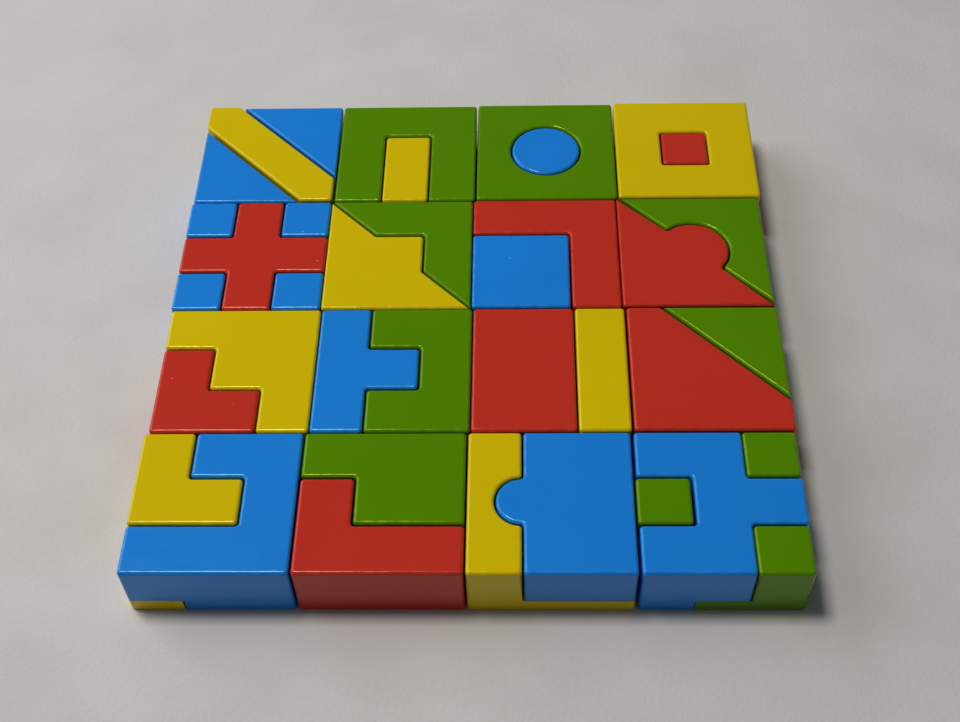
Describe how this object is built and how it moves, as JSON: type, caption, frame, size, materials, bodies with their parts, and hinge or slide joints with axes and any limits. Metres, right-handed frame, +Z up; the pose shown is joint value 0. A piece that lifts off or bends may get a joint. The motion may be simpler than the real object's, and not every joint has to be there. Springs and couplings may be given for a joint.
{
  "type": "matching block puzzle set",
  "caption": "Flat square pack of low two-colour plastic puzzle blocks; each splits into a posted base and a cap that drops over the posts, and the tops show interlocking shapes.",
  "frame": {"origin": "on the table, under the middle of the whole pack's footprint", "axes": "+X to the right along the rows, +Y to the back across the rows, +Z up through the blocks' tops"},
  "size_m": [0.1518, 0.1516, 0.016],
  "materials": {
    "blue_plastic": "glossy moulded plastic",
    "yellow_plastic": "glossy moulded plastic",
    "red_plastic": "glossy moulded plastic",
    "green_plastic": "glossy moulded plastic"
  },
  "bodies": {
    "hook_base": {"hook_base": "yellow_plastic"},
    "hook_cap": {"hook_cap": "blue_plastic"},
    "ell_base": {"ell_base": "red_plastic"},
    "ell_cap": {"ell_cap": "green_plastic"},
    "knob_base": {"knob_base": "yellow_plastic"},
    "knob_cap": {"knob_cap": "blue_plastic"},
    "fork_base": {"fork_base": "green_plastic"},
    "fork_cap": {"fork_cap": "blue_plastic"},
    "stair_base": {"stair_base": "red_plastic"},
    "stair_cap": {"stair_cap": "yellow_plastic"},
    "tee_base": {"tee_base": "blue_plastic"},
    "tee_cap": {"tee_cap": "green_plastic"},
    "strip_base": {"strip_base": "yellow_plastic"},
    "strip_cap": {"strip_cap": "red_plastic"},
    "slope_base": {"slope_base": "green_plastic"},
    "slope_cap": {"slope_cap": "red_plastic"},
    "cross_base": {"cross_base": "blue_plastic"},
    "cross_cap": {"cross_cap": "red_plastic"},
    "zigzag_base": {"zigzag_base": "green_plastic"},
    "zigzag_cap": {"zigzag_cap": "yellow_plastic"},
    "corner_base": {"corner_base": "blue_plastic"},
    "corner_cap": {"corner_cap": "red_plastic"},
    "bump_base": {"bump_base": "green_plastic"},
    "bump_cap": {"bump_cap": "red_plastic"},
    "band_base": {"band_base": "blue_plastic"},
    "band_cap": {"band_cap": "yellow_plastic"},
    "arch_base": {"arch_base": "yellow_plastic"},
    "arch_cap": {"arch_cap": "green_plastic"},
    "disc_base": {"disc_base": "blue_plastic"},
    "disc_cap": {"disc_cap": "green_plastic"},
    "window_base": {"window_base": "red_plastic"},
    "window_cap": {"window_cap": "yellow_plastic"}
  },
  "joints": [
    {"name": "hook_cap_lift", "type": "slide", "parent": "hook_base", "child": "hook_cap", "axis": [0, 0, 1], "range_m": [0, 0.02]},
    {"name": "ell_block_lift", "type": "slide", "parent": "hook_base", "child": "ell_base", "axis": [0, 0, 1], "range_m": [0, 0.02]},
    {"name": "ell_cap_lift", "type": "slide", "parent": "ell_base", "child": "ell_cap", "axis": [0, 0, 1], "range_m": [0, 0.02]},
    {"name": "knob_block_lift", "type": "slide", "parent": "hook_base", "child": "knob_base", "axis": [0, 0, 1], "range_m": [0, 0.02]},
    {"name": "knob_cap_lift", "type": "slide", "parent": "knob_base", "child": "knob_cap", "axis": [0, 0, 1], "range_m": [0, 0.02]},
    {"name": "fork_block_lift", "type": "slide", "parent": "hook_base", "child": "fork_base", "axis": [0, 0, 1], "range_m": [0, 0.02]},
    {"name": "fork_cap_lift", "type": "slide", "parent": "fork_base", "child": "fork_cap", "axis": [0, 0, 1], "range_m": [0, 0.02]},
    {"name": "stair_block_lift", "type": "slide", "parent": "hook_base", "child": "stair_base", "axis": [0, 0, 1], "range_m": [0, 0.02]},
    {"name": "stair_cap_lift", "type": "slide", "parent": "stair_base", "child": "stair_cap", "axis": [0, 0, 1], "range_m": [0, 0.02]},
    {"name": "tee_block_lift", "type": "slide", "parent": "hook_base", "child": "tee_base", "axis": [0, 0, 1], "range_m": [0, 0.02]},
    {"name": "tee_cap_lift", "type": "slide", "parent": "tee_base", "child": "tee_cap", "axis": [0, 0, 1], "range_m": [0, 0.02]},
    {"name": "strip_block_lift", "type": "slide", "parent": "hook_base", "child": "strip_base", "axis": [0, 0, 1], "range_m": [0, 0.02]},
    {"name": "strip_cap_lift", "type": "slide", "parent": "strip_base", "child": "strip_cap", "axis": [0, 0, 1], "range_m": [0, 0.02]},
    {"name": "slope_block_lift", "type": "slide", "parent": "hook_base", "child": "slope_base", "axis": [0, 0, 1], "range_m": [0, 0.02]},
    {"name": "slope_cap_lift", "type": "slide", "parent": "slope_base", "child": "slope_cap", "axis": [0, 0, 1], "range_m": [0, 0.02]},
    {"name": "cross_block_lift", "type": "slide", "parent": "hook_base", "child": "cross_base", "axis": [0, 0, 1], "range_m": [0, 0.02]},
    {"name": "cross_cap_lift", "type": "slide", "parent": "cross_base", "child": "cross_cap", "axis": [0, 0, 1], "range_m": [0, 0.02]},
    {"name": "zigzag_block_lift", "type": "slide", "parent": "hook_base", "child": "zigzag_base", "axis": [0, 0, 1], "range_m": [0, 0.02]},
    {"name": "zigzag_cap_lift", "type": "slide", "parent": "zigzag_base", "child": "zigzag_cap", "axis": [0, 0, 1], "range_m": [0, 0.02]},
    {"name": "corner_block_lift", "type": "slide", "parent": "hook_base", "child": "corner_base", "axis": [0, 0, 1], "range_m": [0, 0.02]},
    {"name": "corner_cap_lift", "type": "slide", "parent": "corner_base", "child": "corner_cap", "axis": [0, 0, 1], "range_m": [0, 0.02]},
    {"name": "bump_block_lift", "type": "slide", "parent": "hook_base", "child": "bump_base", "axis": [0, 0, 1], "range_m": [0, 0.02]},
    {"name": "bump_cap_lift", "type": "slide", "parent": "bump_base", "child": "bump_cap", "axis": [0, 0, 1], "range_m": [0, 0.02]},
    {"name": "band_block_lift", "type": "slide", "parent": "hook_base", "child": "band_base", "axis": [0, 0, 1], "range_m": [0, 0.02]},
    {"name": "band_cap_lift", "type": "slide", "parent": "band_base", "child": "band_cap", "axis": [0, 0, 1], "range_m": [0, 0.02]},
    {"name": "arch_block_lift", "type": "slide", "parent": "hook_base", "child": "arch_base", "axis": [0, 0, 1], "range_m": [0, 0.02]},
    {"name": "arch_cap_lift", "type": "slide", "parent": "arch_base", "child": "arch_cap", "axis": [0, 0, 1], "range_m": [0, 0.02]},
    {"name": "disc_block_lift", "type": "slide", "parent": "hook_base", "child": "disc_base", "axis": [0, 0, 1], "range_m": [0, 0.02]},
    {"name": "disc_cap_lift", "type": "slide", "parent": "disc_base", "child": "disc_cap", "axis": [0, 0, 1], "range_m": [0, 0.02]},
    {"name": "window_block_lift", "type": "slide", "parent": "hook_base", "child": "window_base", "axis": [0, 0, 1], "range_m": [0, 0.02]},
    {"name": "window_cap_lift", "type": "slide", "parent": "window_base", "child": "window_cap", "axis": [0, 0, 1], "range_m": [0, 0.02]}
  ]
}
